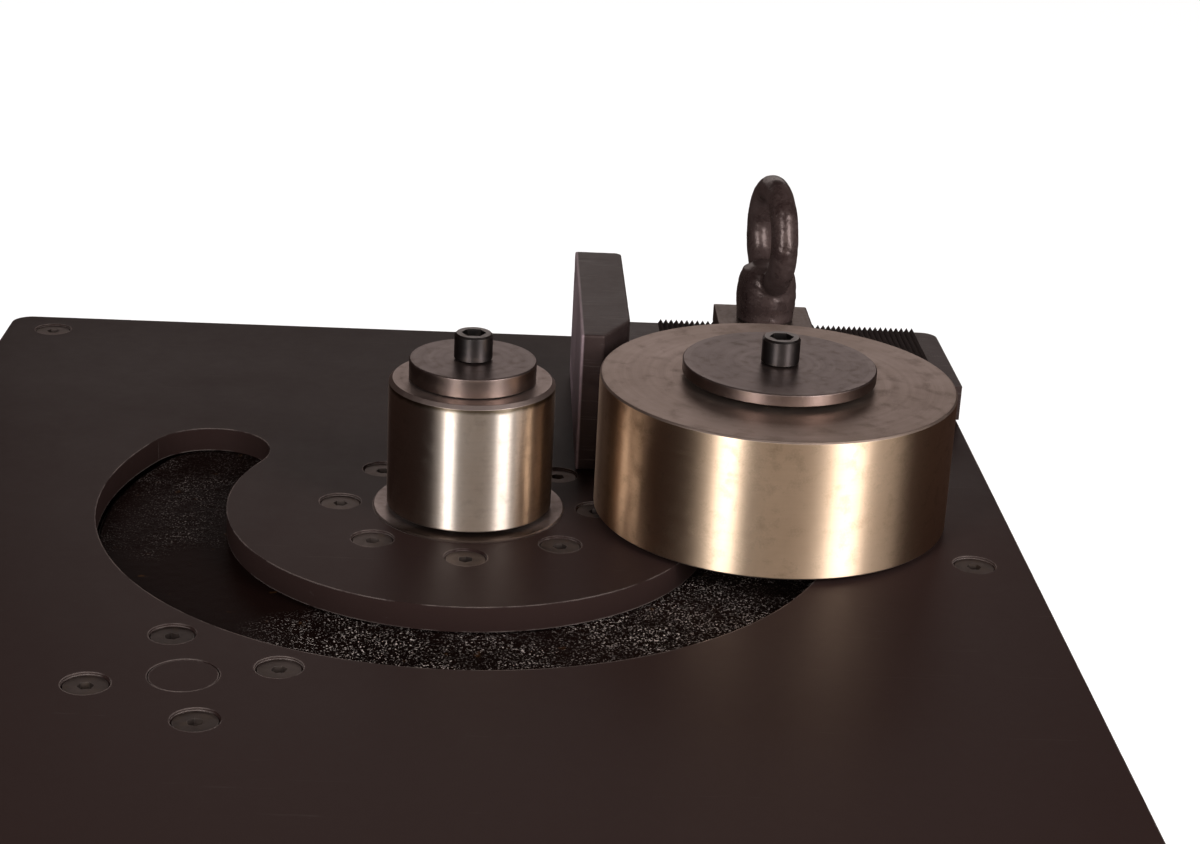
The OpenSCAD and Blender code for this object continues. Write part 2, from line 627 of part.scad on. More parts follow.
module emergency_stop() color([0.75, 0.08, 0.05]) at_panel(estop_x) union() {
  translate([0, 0, -25]) cylinder(r = button_r, h = 38);
  translate([0, 0, 12]) turned(19, 14, 0, 3);
}
module angle_dial() color([0.1, 0.1, 0.1]) at_panel(dial_x) union() {
  translate([0, 0, -20]) cylinder(r = 5, h = 22);
  translate([0, 0, 1]) cylinder(r = 26, h = 3);
  translate([0, 0, 3.5]) turned(19, 17, 0, 1.5);
  translate([-2, 10, 20]) cube([4, 9, 2]);
}
module isolator_switch() color([0.1, 0.1, 0.1])
  translate([frame_x + sheet, switch_y, switch_z]) rotate([0, 90, 0]) union() {
    translate([0, 0, 0.3]) cylinder(r = 28, h = 8);
    translate([-24, -7, 8]) cube([48, 14, 22]);
    translate([0, 0, -20]) cylinder(r = 9, h = 22);
  }
module cable_gland() color([0.1, 0.1, 0.1])
  translate([gland_x, frame_y + sheet, gland_z]) rotate([-90, 0, 0]) difference() {
  union() {
    cylinder(r = 16, h = 6, $fn = 6);
    translate([0, 0, 6 - e]) cylinder(r1 = 15, r2 = 12, h = 20);
    translate([0, 0, -14]) cylinder(r = 11.9, h = 15);
  }
  translate([0, 0, -20]) cylinder(r = 7.5, h = 60);
}

table_plate();
table_screws();
flange_screws();
shaft_plug();
centre_ring();
centre_post();
post_retainer();
centre_pin();
centre_roller();
centre_roller_bush();
centre_cap();
centre_cap_screw();
bull_gear();
gear_bush();
slot_cover();
bending_pin();
bending_pin_nut();
bending_roller();
bending_roller_bush();
bending_cap();
bending_cap_screw();
stop_slide();
stop_bar();
stop_bar_screws();
clamp_block();
clamp_washer();
eye_nut();
clamp_stud();
slide_guides();
guide_screws();
pinion_shaft();
intermediate_gear();
upper_bearing_housing();
shaft_bearings();
lower_bearing_housing();
drive_pinion();
gearbox_case();
motor_body();
fan_cowl();
motor_fan();
terminal_box();
mount_plate();
angle_sensor();
base_frame();
corner_posts();
top_frame();
mid_rails();
side_panels();
front_panel();
back_panel();
door_hinges();
rear_door();
panel_screws();
control_panel();
start_button();
stop_button();
emergency_stop();
angle_dial();
isolator_switch();
cable_gland();
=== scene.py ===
import json
from math import cos, pi, radians, sin

import bmesh
import bpy
import numpy as np
from mathutils import Matrix, Vector


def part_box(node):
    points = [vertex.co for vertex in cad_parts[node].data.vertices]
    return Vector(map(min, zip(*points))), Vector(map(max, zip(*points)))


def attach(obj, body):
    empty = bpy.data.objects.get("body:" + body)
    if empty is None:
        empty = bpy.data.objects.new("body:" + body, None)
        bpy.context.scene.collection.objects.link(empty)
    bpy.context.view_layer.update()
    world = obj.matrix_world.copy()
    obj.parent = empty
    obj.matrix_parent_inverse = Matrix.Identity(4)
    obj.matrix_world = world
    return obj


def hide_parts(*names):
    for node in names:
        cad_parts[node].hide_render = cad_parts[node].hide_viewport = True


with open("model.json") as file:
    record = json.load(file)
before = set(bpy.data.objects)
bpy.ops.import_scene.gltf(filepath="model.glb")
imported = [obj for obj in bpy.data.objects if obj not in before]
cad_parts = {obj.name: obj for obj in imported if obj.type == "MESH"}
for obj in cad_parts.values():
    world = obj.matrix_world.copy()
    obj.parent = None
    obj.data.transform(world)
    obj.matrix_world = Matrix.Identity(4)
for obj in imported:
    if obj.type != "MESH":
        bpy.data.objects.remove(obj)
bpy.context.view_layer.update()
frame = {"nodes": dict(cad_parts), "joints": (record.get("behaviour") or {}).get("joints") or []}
nodes = frame["nodes"]
jointOf = {j["name"]: j for j in frame["joints"]}
bendAxis = Vector(jointOf["bending_swing"]["pos_m"])  # on the table's top face
rollerAxis = Vector(jointOf["bending_roller_spin"]["pos_m"])
studAxis = Vector(jointOf["eye_nut_turn"]["pos_m"])
print("frame loaded:", len(nodes), "nodes")

cameraSetup = {
    "offset": (0.01732, -1.70959, 0.71309),  # from the bending axis, in metres
    "yaw": 0.0489, "pitch": 0.3571, "roll": 0.0521,
    "lens": 69.78, "sensor": 36.0,
}


def makeCamera(p):
    forward = Vector((sin(p["yaw"]) * cos(p["pitch"]), cos(p["yaw"]) * cos(p["pitch"]), -sin(p["pitch"])))
    level = Vector((cos(p["yaw"]), -sin(p["yaw"]), 0))
    upright = level.cross(forward)
    right = cos(p["roll"]) * level + sin(p["roll"]) * upright
    up = -sin(p["roll"]) * level + cos(p["roll"]) * upright
    data = bpy.data.cameras.new("camera")
    data.lens, data.sensor_width, data.sensor_fit = p["lens"], p["sensor"], "HORIZONTAL"
    data.clip_end = 60
    cam = bpy.data.objects.new("camera", data)
    turn = Matrix((right, up, -forward)).transposed().to_4x4()
    cam.matrix_world = Matrix.Translation(bendAxis + Vector(p["offset"])) @ turn
    bpy.context.scene.collection.objects.link(cam)
    bpy.context.scene.camera = cam


# each box: bearing in degrees from the operator's side, distance and height from the bending axis,
# size in metres and power in watts
lightSetup = {
    "leftBox": {"bearing": -27.5, "far": 1.9, "up": 0.72, "size": (0.45, 1.9), "power": 38,
                "colour": (0.97, 0.99, 1)},
    "rightBox": {"bearing": 45.5, "far": 1.9, "up": 0.72, "size": (0.62, 1.9), "power": 42,
                 "colour": (0.98, 0.99, 1)},
    "backBox": {"bearing": 178, "far": 2.6, "up": 1.0, "size": (2.2, 0.9), "power": 6.5,
                "colour": (1, 0.90, 0.86)},
    "rightGlow": {"bearing": 66, "far": 1.9, "up": 0.9, "size": (1.0, 1.7), "power": 9,
                  "colour": (1, 0.97, 0.94)},
    "leftGlow": {"bearing": -38, "far": 1.9, "up": 0.9, "size": (0.7, 1.7), "power": 4,
                 "colour": (1, 0.97, 0.94)},
    "fillBox": {"bearing": 9, "far": 3.2, "up": 0.95, "size": (2.6, 1.6), "power": 24,
                "colour": (1, 0.94, 0.88)},
    "rearLeftBox": {"bearing": 212, "far": 3.0, "up": -0.1, "size": (1.8, 1.2), "power": 30,
                    "colour": (1, 0.96, 0.93)},
    "rearRightBox": {"bearing": 135, "far": 3.0, "up": -0.1, "size": (1.8, 1.2), "power": 24,
                     "colour": (1, 0.96, 0.93)},
    "floorSun": {"turn": (0.35, 0.1, 0), "strength": 3.6, "angle": 60},
    "aim": (0.1, 0, 0), "world": 0.045, "worldColour": (1, 0.62, 0.52, 1), "backdrop": 1.05,
}


def makeLights(p):
    scene = bpy.context.scene
    for name, box in p.items():
        if "Box" not in name and "Glow" not in name:
            continue
        data = bpy.data.lights.new(name, "AREA")
        data.shape, data.size, data.size_y = "RECTANGLE", *box["size"]
        data.energy, data.color = box["power"], box["colour"]
        lamp = bpy.data.objects.new(name, data)
        lamp.visible_camera = False
        turn = radians(box["bearing"])
        spot = bendAxis + Vector((sin(turn) * box["far"], -cos(turn) * box["far"], box["up"]))
        lamp.location = spot
        lamp.rotation_euler = (bendAxis + Vector(p["aim"]) - spot).to_track_quat("-Z", "Y").to_euler()
        scene.collection.objects.link(lamp)
    world = bpy.data.worlds.new("studio")
    scene.world = world
    world.use_nodes = True
    tree = world.node_tree
    tree.nodes.clear()
    seen, lit, mix = (tree.nodes.new("ShaderNode" + k) for k in ("Background", "Background", "MixShader"))
    path, out = tree.nodes.new("ShaderNodeLightPath"), tree.nodes.new("ShaderNodeOutputWorld")
    lit.inputs["Strength"].default_value = p["world"]
    seen.inputs["Strength"].default_value = p["backdrop"]
    seen.inputs["Color"].default_value = (1, 1, 1, 1)
    lit.inputs["Color"].default_value = p["worldColour"]
    tree.links.new(path.outputs["Is Camera Ray"], mix.inputs[0])
    tree.links.new(lit.outputs[0], mix.inputs[1])
    tree.links.new(seen.outputs[0], mix.inputs[2])
    tree.links.new(mix.outputs[0], out.inputs["Surface"])
    scene.view_settings.view_transform = "Standard"


# a broad sun that only the floor receives, so the paper stays pale under dark steel
def makeFloorSun(p, floor):
    data = bpy.data.lights.new("floorSun", "SUN")
    data.energy, data.angle = p["strength"], radians(p["angle"])
    sun = bpy.data.objects.new("floorSun", data)
    sun.rotation_euler = p["turn"]
    bpy.context.scene.collection.objects.link(sun)
    shineOn(sun, "floorOnly", [floor])


# the lamp lights these objects and nothing else
def shineOn(lamp, name, receivers):
    only = bpy.data.collections.new(name)
    for obj in receivers:
        only.objects.link(obj)
    lamp.light_linking.receiver_collection = only


def makeMesh(name, verts, faces, smooth=True):
    mesh = bpy.data.meshes.new(name)
    mesh.from_pydata(np.asarray(verts).tolist(), [], np.asarray(faces).tolist())
    mesh.update()
    mesh.polygons.foreach_set("use_smooth", [smooth] * len(mesh.polygons))
    obj = bpy.data.objects.new(name, mesh)
    bpy.context.scene.collection.objects.link(obj)
    return obj


# quads between the rows and columns of a grid; a wrapped direction joins its last line to its first
def gridFaces(rows, columns, wrapRows=True, wrapColumns=True):
    i, j = np.meshgrid(np.arange(rows - (not wrapRows)), np.arange(columns - (not wrapColumns)),
                       indexing="ij")
    k, m = (i + 1) % rows, (j + 1) % columns
    return np.stack([i * columns + j, k * columns + j, k * columns + m, i * columns + m], -1).reshape(-1, 4)


# each corner becomes P + u (1 - t)^2 + v t^2, where u and v reach back along its two edges
def roundedLoop(corners, radii, steps=5):
    past, flat = 0.25, 1.3  # one more point on either side, a little way along the edge, keeps the flats flat
    at = np.asarray(corners, float)
    back, ahead = np.roll(at, 1, 0) - at, np.roll(at, -1, 0) - at
    back, ahead = (v / np.linalg.norm(v, axis=1, keepdims=True) for v in (back, ahead))
    t = np.concatenate([[-past], np.linspace(0, 1, steps), [1 + past]])
    early = np.where(t < 0, flat, (1 - t) ** 2 * (t < 1))
    late = np.where(t > 1, flat, t ** 2 * (t > 0))
    early, late = np.where(t > 1, 0, early), np.where(t < 0, 0, late)
    r = np.asarray(radii, float)[:, None, None]
    return (at[:, None] + r * (back[:, None] * early[:, None] + ahead[:, None] * late[:, None])).reshape(-1,
            2)


# a closed loop of (radius, height) points carried round the upright axis: x = r cos a, y = r sin a
def lathe(name, loop, centre, spokes=192):
    a = np.arange(spokes) * 2 * pi / spokes
    grid = np.stack([np.outer(np.cos(a), loop[:, 0]), np.outer(np.sin(a), loop[:, 0]),
                     np.tile(loop[:, 1], (spokes, 1))], -1)
    return makeMesh(name, (grid + np.asarray(centre)).reshape(-1, 3), gridFaces(spokes, len(loop)))


# smooth noise: random values on a square lattice, blended between neighbours by t t (3 - 2 t)
def lumps(x, y, cell, seed):
    size = 256  # the lattice repeats after this many cells
    table = np.random.default_rng(seed).random((size, size))
    i, j = np.floor(x / cell).astype(int), np.floor(y / cell).astype(int)
    s, t = x / cell - i, y / cell - j
    s, t = s * s * (3 - 2 * s), t * t * (3 - 2 * t)
    i, j, iNext, jNext = i % size, j % size, (i + 1) % size, (j + 1) % size
    near = table[i, j] * (1 - s) + table[iNext, j] * s
    far = table[i, jNext] * (1 - s) + table[iNext, jNext] * s
    return near * (1 - t) + far * t


# every point moves half-way to the mean of its neighbours, a few times over
def relax(points, edges, rounds):
    ends = np.concatenate([edges[:, 0], edges[:, 1]])
    others = np.concatenate([edges[:, 1], edges[:, 0]])
    count = np.bincount(ends, minlength=len(points))[:, None]
    for _ in range(rounds):
        mean = np.stack([np.bincount(ends, points[others, k], len(points)) for k in range(3)], -1) / count
        points = (points + mean) / 2
    return points


# rebuilds a rough solid as one even skin of small quads, and hands back its points and edges
def evenSkin(name, mesh, voxel):
    raw = bpy.data.objects.new(name + "Raw", mesh)
    bpy.context.scene.collection.objects.link(raw)
    skin = raw.modifiers.new("skin", "REMESH")
    skin.mode, skin.voxel_size = "VOXEL", voxel
    even = bpy.data.meshes.new_from_object(raw.evaluated_get(bpy.context.evaluated_depsgraph_get()))
    bpy.data.objects.remove(raw)
    even.name = name
    even.materials.clear()
    piece = bpy.data.objects.new(name, even)
    bpy.context.scene.collection.objects.link(piece)
    points, edges = np.empty(len(even.vertices) * 3), np.empty(len(even.edges) * 2, int)
    even.vertices.foreach_get("co", points)
    even.edges.foreach_get("vertices", edges)
    return piece, points.reshape(-1, 3), edges.reshape(-1, 2)


def setPoints(piece, points):
    piece.data.vertices.foreach_set("co", np.ascontiguousarray(points).ravel())
    piece.data.polygons.foreach_set("use_smooth", [True] * len(piece.data.polygons))
    piece.data.update()


def placePiece(piece, mat, body, slot, *replaced):
    piece.data.materials.append(mat)
    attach(piece, body)
    if replaced:
        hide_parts(*replaced)


floorSetup = {"radius": 26.0, "rings": 40, "spokes": 96}


# a flat disc: radius times (cos a, sin a), closed at its middle by a fan
def makeFloor(p):
    r = np.linspace(0, 1, p["rings"])[1:] ** 2 * p["radius"]
    a = np.arange(p["spokes"]) * 2 * pi / p["spokes"]
    grid = np.stack([np.outer(r, np.cos(a)), np.outer(r, np.sin(a)), np.zeros((len(r), len(a)))],
                    -1).reshape(-1, 3)
    quads = gridFaces(len(r), len(a), wrapRows=False)
    spoke = np.arange(len(a))
    fan = np.stack([np.full(len(a), len(grid)), spoke, (spoke + 1) % len(a)], -1)
    mesh = bpy.data.meshes.new("floor")
    mesh.from_pydata(np.vstack([grid, [[0, 0, 0]]]).tolist(), [], quads.tolist() + fan.tolist())
    floor = bpy.data.objects.new("floor", mesh)
    bpy.context.scene.collection.objects.link(floor)
    floor.visible_glossy = False
    return floor


makeCamera(cameraSetup)
makeLights(lightSetup)
floor = makeFloor(floorSetup)
makeFloorSun(lightSetup["floorSun"], floor)
cabinetNodes = ("side_panels", "back_panel", "rear_door", "door_hinges", "base_frame", "corner_posts",
                "top_frame", "panel_screws", "isolator_switch", "cable_gland")
for name in ("rearLeftBox", "rearRightBox"):
    shineOn(bpy.data.objects[name], name + "Only", [nodes[n] for n in cabinetNodes])
print("camera, lights and floor made")


def addNode(tree, kind, values=None, **settings):
    node = tree.nodes.new("ShaderNode" + kind)
    for key, value in settings.items():
        setattr(node, key, value)
    for key, value in (values or {}).items():
        if isinstance(value, bpy.types.NodeSocket):
            tree.links.new(value, node.inputs[key])
        else:
            node.inputs[key].default_value = value
    return node


# a node group with named sockets; ins maps a name to (kind, default)
def newGroup(name, ins, outs):
    tree = bpy.data.node_groups.new(name, "ShaderNodeTree")
    for key, (kind, default) in ins.items():
        socket = tree.interface.new_socket(key, in_out="INPUT", socket_type="NodeSocket" + kind)
        if default is not None:
            socket.default_value = default
    for key, kind in outs.items():
        tree.interface.new_socket(key, in_out="OUTPUT", socket_type="NodeSocket" + kind)
    return tree, tree.nodes.new("NodeGroupInput").outputs, tree.nodes.new("NodeGroupOutput")


def useGroup(tree, group, values=None):
    node = tree.nodes.new("ShaderNodeGroup")
    node.node_tree = group
    for key, value in (values or {}).items():
        if isinstance(value, bpy.types.NodeSocket):
            tree.links.new(value, node.inputs[key])
        else:
            node.inputs[key].default_value = value
    return node.outputs


def mathNode(tree, operation, a, b=0.5, clamp=False):
    return addNode(tree, "Math", {0: a, 1: b}, operation=operation, use_clamp=clamp).outputs[0]


def times(tree, a, b):
    return mathNode(tree, "MULTIPLY", a, b)


def plus(tree, a, b, clamp=False):
    return mathNode(tree, "ADD", a, b, clamp)


def minus(tree, a, b):
    return mathNode(tree, "SUBTRACT", a, b)


def noise(tree, where, scale, detail, **more):
    return addNode(tree, "TexNoise", {"Vector": where, "Scale": scale, "Detail": detail, **more}).outputs[0]


def axisOf(tree, where, axis):
    return addNode(tree, "SeparateXYZ", {0: where}).outputs["XYZ".index(axis)]


def mapRange(tree, value, low, high, toLow=0.0, toHigh=1.0):
    node = addNode(tree, "MapRange", {"Value": value, "From Min": low, "From Max": high, "To Min": toLow,
                                      "To Max": toHigh})
    return node.outputs["Result"]


def mixColour(tree, factor, a, b, blend="MIX"):
    node = tree.nodes.new("ShaderNodeMix")
    node.data_type, node.blend_type = "RGBA", blend
    for key, value in ((0, factor), (6, a), (7, b)):
        if isinstance(value, bpy.types.NodeSocket):
            tree.links.new(value, node.inputs[key])
        else:
            node.inputs[key].default_value = value if key == 0 else (*value, 1)
    return node.outputs[2]


# where the rounded normal leaves the flat one there is an edge; noise breaks it up
def buildEdgeWear():
    tree, given, out = newGroup("edgeWear",
                                {"Vector": ("Vector", None), "Radius": ("Float", 0.0015),
                                 "Patch": ("Float", 60.0)}, {"Mask": "Float"})
    soft = addNode(tree, "Bevel", {"Radius": given["Radius"]}, samples=4)
    flat = addNode(tree, "NewGeometry")
    dot = addNode(tree, "VectorMath", {0: soft.outputs[0], 1: flat.outputs["Normal"]},
                  operation="DOT_PRODUCT").outputs["Value"]
    edge = mapRange(tree, dot, 0.995, 0.90)
    patches = noise(tree, given["Vector"], given["Patch"], 5.0, Roughness=0.65)
    broken = mapRange(tree, patches, 0.40, 0.58)
    tree.links.new(times(tree, edge, broken), out.inputs["Mask"])
    return tree


# two layers of soft noise, the small one eating into the large one's borders
def buildStains():
    tree, given, out = newGroup("stains",
                                {"Vector": ("Vector", None), "Scale": ("Float", 8.0), "Cover": ("Float", 0.5),
                                 "Soft": ("Float", 0.12)}, {"Mask": "Float", "Cloud": "Float"})
    large = noise(tree, given["Vector"], given["Scale"], 3.0, Distortion=0.4)
    small = noise(tree, given["Vector"], times(tree, given["Scale"], 9.0), 6.0, Roughness=0.6)
    both = plus(tree, times(tree, large, 0.7), times(tree, small, 0.3))
    low = minus(tree, minus(tree, 0.72, times(tree, given["Cover"], 0.44)), given["Soft"])
    high = plus(tree, low, times(tree, given["Soft"], 2.0))
    tree.links.new(mapRange(tree, both, low, high), out.inputs["Mask"])
    tree.links.new(both, out.inputs["Cloud"])
    return tree


# tool marks that run round an upright axis: noise along radius plus height
def buildTurned():
    tree, given, out = newGroup("turned", {"Vector": ("Vector", None), "Lines": ("Float", 900.0)},
                                {"Height": "Float", "Streak": "Float"})
    parts = addNode(tree, "SeparateXYZ", {0: given["Vector"]}).outputs
    plan = addNode(tree, "CombineXYZ", {0: parts[0], 1: parts[1]}).outputs[0]
    radius = addNode(tree, "VectorMath", {0: plan}, operation="LENGTH").outputs["Value"]
    along = plus(tree, radius, parts[2])
    fine = addNode(tree, "TexNoise", {"W": along, "Scale": given["Lines"], "Detail": 3.0, "Roughness": 0.7},
                   noise_dimensions="1D").outputs[0]
    coarse = addNode(tree, "TexNoise", {"W": along, "Scale": times(tree, given["Lines"], 0.12),
                                        "Detail": 2.0}, noise_dimensions="1D").outputs[0]
    tree.links.new(fine, out.inputs["Height"])
    tree.links.new(plus(tree, times(tree, fine, 0.5), times(tree, coarse, 0.5)), out.inputs["Streak"])
    return tree


# fine pits and orange peel: two sizes of noise added together
def buildGrain():
    tree, given, out = newGroup("grain", {"Vector": ("Vector", None), "Scale": ("Float", 400.0),
                                          "Rough": ("Float", 0.6)}, {"Height": "Float", "Value": "Float"})
    fine = noise(tree, given["Vector"], given["Scale"], 4.0, Roughness=given["Rough"])
    wide = noise(tree, given["Vector"], times(tree, given["Scale"], 0.11), 3.0)
    tree.links.new(plus(tree, times(tree, fine, 0.6), times(tree, wide, 0.4)), out.inputs["Height"])
    tree.links.new(wide, out.inputs["Value"])
    return tree


# long thin scratches: noise stretched along two directions and cut to its crests
def buildScuffs():
    tree, given, out = newGroup("scuffs",
                                {"Vector": ("Vector", None), "Scale": ("Float", 14.0),
                                 "Amount": ("Float", 0.5)}, {"Mask": "Float"})
    masks = []
    for turn, stretch in ((0.35, 0.03), (1.9, 0.05)):
        spun = addNode(tree, "Mapping", {"Vector": given["Vector"], "Rotation": (0, 0, turn),
                                         "Scale": (stretch * 6, 6.0, 6.0)}).outputs[0]
        crest = noise(tree, spun, given["Scale"], 4.0, Roughness=0.75)
        cut = minus(tree, 0.74, times(tree, given["Amount"], 0.16))
        masks.append(mapRange(tree, crest, cut, plus(tree, cut, 0.02)))
    tree.links.new(mathNode(tree, "MAXIMUM", masks[0], masks[1]), out.inputs["Mask"])
    return tree


# grit that lies on faces that look up, in specks and in thin drifts
def buildDust():
    tree, given, out = newGroup("dust", {"Vector": ("Vector", None), "Amount": ("Float", 0.3),
                                         "Speck": ("Float", 500.0)}, {"Mask": "Float"})
    normal = axisOf(tree, addNode(tree, "NewGeometry").outputs["Normal"], "Z")
    up = mapRange(tree, normal, 0.55, 0.95)
    speck = noise(tree, given["Vector"], given["Speck"], 2.0)
    drift = noise(tree, given["Vector"], 7.0, 4.0)
    cut = minus(tree, 0.86, times(tree, given["Amount"], plus(tree, drift, 0.1)))
    mask = mapRange(tree, speck, cut, plus(tree, cut, 0.06))
    tree.links.new(times(tree, mask, up), out.inputs["Mask"])
    return tree


edgeWear, stains, turned = buildEdgeWear(), buildStains(), buildTurned()
grain, scuffs, dust = buildGrain(), buildScuffs(), buildDust()
print("shader groups built")


def startMaterial(name, centre=(0, 0, 0)):
    mat = bpy.data.materials.new(name)
    mat.use_nodes = True
    tree = mat.node_tree
    shader = tree.nodes["Principled BSDF"]
    where = addNode(tree, "Mapping", {"Vector": addNode(tree, "TexCoord").outputs["Object"],
                                      "Location": tuple(-c for c in centre)}).outputs[0]
    return mat, tree, shader, where


def wire(tree, shader, **sockets):
    names = {"colour": "Base Color", "rough": "Roughness", "metal": "Metallic", "normal": "Normal"}
    for key, value in sockets.items():
        socket = shader.inputs[names.get(key, key)]
        if isinstance(value, bpy.types.NodeSocket):
            tree.links.new(value, socket)
        else:
            socket.default_value = value


def bump(tree, height, strength, distance):
    return addNode(tree, "Bump", {"Height": height, "Strength": strength, "Distance": distance}).outputs[0]


warmGloss = (1, 0.78, 0.73)  # tint of the gloss on dark paint


# satin paint with orange peel, faded clouds, scratches, bare worn edges and grit
def paintMaterial(name, p, centre=(0, 0, 0)):
    mat, tree, shader, where = startMaterial(name, centre)
    peel = useGroup(tree, grain, {"Vector": where, "Scale": p["peelScale"], "Rough": 0.55})
    cloud = useGroup(tree, stains, {"Vector": where, "Scale": p["cloudScale"], "Cover": p["cloudCover"],
                                    "Soft": 0.2})
    scratch = useGroup(tree, scuffs, {"Vector": where, "Scale": p["scratchScale"],
                                      "Amount": p["scratches"]})["Mask"]
    worn = useGroup(tree, edgeWear, {"Vector": where, "Radius": p["edge"], "Patch": p["edgePatch"]})["Mask"]
    worn = times(tree, worn, p["edgeShow"])
    grit = useGroup(tree, dust, {"Vector": where, "Amount": p["dust"], "Speck": p["gritScale"]})["Mask"]
    colour = mixColour(tree, cloud["Mask"], p["colour"], p["cloudColour"])
    colour = mixColour(tree, times(tree, scratch, p["scratchShow"]), colour, p["scratchColour"])
    colour = mixColour(tree, worn, colour, p["bare"])
    if p.get("sideHighlight"):  # painted highlight: the side that the bars slide past is painted pale in patches, in place of the light it catches
        clean, full, tone, show = p["sideHighlight"]
        reach = mapRange(tree, axisOf(tree, where, "X"), clean, full)
        colour = mixColour(tree, times(tree, reach,
                                       mapRange(tree, cloud["Cloud"], 0.3, 0.6, show * 0.5, show)), colour,
                                       tone)
    colour = mixColour(tree, grit, colour, p["gritColour"])
    rough = plus(tree, mapRange(tree, cloud["Cloud"], 0.3, 0.7, -p["cloudRough"], p["cloudRough"]),
                 p["rough"])
    rough = plus(tree, rough, times(tree, peel["Value"], p["peelRough"]), clamp=True)
    dent = minus(tree, peel["Height"], times(tree, scratch, 0.4))
    wire(tree, shader, colour=colour, rough=rough, metal=times(tree, worn, p["bareMetal"]),
         normal=bump(tree, dent, p["bump"], p["bumpDepth"]))
    wire(tree, shader, **{"Specular IOR Level": p["specular"],
                          "Specular Tint": (*p.get("gloss", warmGloss), 1)})
    return mat


# turned or ground steel: rings of tool marks, warm stains, dark spots and scratches
def steelMaterial(name, p, centre=(0, 0, 0)):
    mat, tree, shader, where = startMaterial(name, centre)
    marks = useGroup(tree, turned, {"Vector": where, "Lines": p["lines"]})
    tint = useGroup(tree, stains, {"Vector": where, "Scale": p["stainScale"], "Cover": p["stainCover"],
                                   "Soft": p["stainSoft"]})
    spots = useGroup(tree, stains, {"Vector": where, "Scale": p["stainScale"] * 7, "Cover": p["spotCover"],
                                    "Soft": p["spotSoft"]})["Mask"]
    scratch = useGroup(tree, scuffs, {"Vector": where, "Scale": p["scratchScale"],
                                      "Amount": p["scratches"]})["Mask"]
    worn = useGroup(tree, edgeWear, {"Vector": where, "Radius": p["edge"], "Patch": p["edgePatch"]})["Mask"]
    colour = mixColour(tree, times(tree, tint["Mask"], p["stainShow"]), p["colour"], p["stainColour"])
    colour = mixColour(tree, times(tree, spots, p["spotShow"]), colour, p["spotColour"])
    colour = mixColour(tree, times(tree, marks["Streak"], p["streak"]), colour, p["spotColour"])
    colour = mixColour(tree, times(tree, worn, p["edgeShow"]), colour, p["bare"])
    rough = plus(tree, times(tree, tint["Mask"], p["stainRough"]), p["rough"])
    rough = plus(tree, rough, times(tree, spots, p["spotRough"]))
    rough = plus(tree, rough, mapRange(tree, marks["Streak"], 0.3, 0.7, -p["streakRough"] / 2,
                                       p["streakRough"] / 2), clamp=True)
    height = plus(tree, marks["Height"], times(tree, scratch, -0.8))
    upright = axisOf(tree, where, "Z")
    if p.get("frontShade"):  # painted shade: darker on the side that faces the work, edged by the stain cloud, in place of a darker reflection there
        clean, full, tone, show = p["frontShade"]
        reach = plus(tree, axisOf(tree, where, "Y"), times(tree, minus(tree, tint["Cloud"], 0.5), 0.05))
        frontShade = mapRange(tree, reach, clean, full)
        colour = mixColour(tree, times(tree, frontShade, show), colour, tone)
    # painted shade: dark bands at given heights, one under the top chamfer and a thin line near the foot
    for level, width, tone, show in p.get("shadeBands", ()):
        away = mathNode(tree, "ABSOLUTE", minus(tree, upright, level))
        shadeBand = mapRange(tree, plus(tree, away, times(tree, minus(tree, tint["Cloud"], 0.5), width * 2.5)),
                        width, width * 0.3)
        colour = mixColour(tree, times(tree, shadeBand, show), colour, tone)
        rough = plus(tree, rough, times(tree, shadeBand, p["bandRough"]), clamp=True)
    wire(tree, shader, colour=colour, rough=rough, metal=1.0,
         normal=bump(tree, height, p["bump"], p["bumpDepth"]))
    if p.get("aniso"):
        shader.inputs["Anisotropic"].default_value = p["aniso"]
        # the marks run round, so the gloss stretches upright
        shader.inputs["Anisotropic Rotation"].default_value = 0.25
        tree.links.new(addNode(tree, "Tangent", direction_type="RADIAL", axis="Z").outputs[0],
                       shader.inputs["Tangent"])
    return mat


def giveMaterial(mat, *names):
    for name in names:
        slots = nodes[name].data.materials
        slots.clear()
        slots.append(mat)


tablePaint = {
    "colour": (0.0180, 0.0098, 0.0086), "cloudColour": (0.0212, 0.0122, 0.0110), "cloudScale": 3.0,
    "cloudCover": 0.45,
    "peelScale": 900.0, "scratchScale": 16.0, "scratches": 0.4, "scratchShow": 0.25,
    "scratchColour": (0.045, 0.033, 0.030),
    "edge": 0.0015, "edgePatch": 32.0, "edgeShow": 0.8, "bare": (0.30, 0.25, 0.23), "dust": 0.2,
    "gritScale": 520.0, "gritColour": (0.03, 0.023, 0.02),
    "rough": 0.42, "cloudRough": 0.06, "peelRough": 0.06, "bareMetal": 0.8, "bump": 0.10, "bumpDepth": 0.0006,
    "specular": 0.07,
}
blockPaint = dict(tablePaint, colour=(0.020, 0.0125, 0.0120), cloudColour=(0.032, 0.021, 0.020),
                  cloudScale=16.0, scratches=0.8, scratchScale=40.0,
                  scratchShow=0.5, scratchColour=(0.07, 0.055, 0.05), edgeShow=0.8, edge=0.0018, rough=0.42,
                  bump=0.3, specular=0.2, bare=(0.13, 0.105, 0.095))
forgedPaint = dict(tablePaint, colour=(0.0145, 0.0082, 0.0076), cloudColour=(0.058, 0.039, 0.036),
                   cloudScale=42.0, cloudCover=0.48, scratches=0.6, scratchShow=0.4,
                   scratchColour=(0.10, 0.08, 0.075), scratchScale=50.0, peelScale=260.0, edgeShow=0.0,
                   rough=0.26, bump=1.0, specular=0.5)
cabinetPaint = dict(tablePaint, colour=(0.022, 0.0125, 0.0112), cloudColour=(0.027, 0.017, 0.0155),
                    cloudScale=2.0, dust=0.08, scratches=0.3, rough=0.42, specular=0.3)
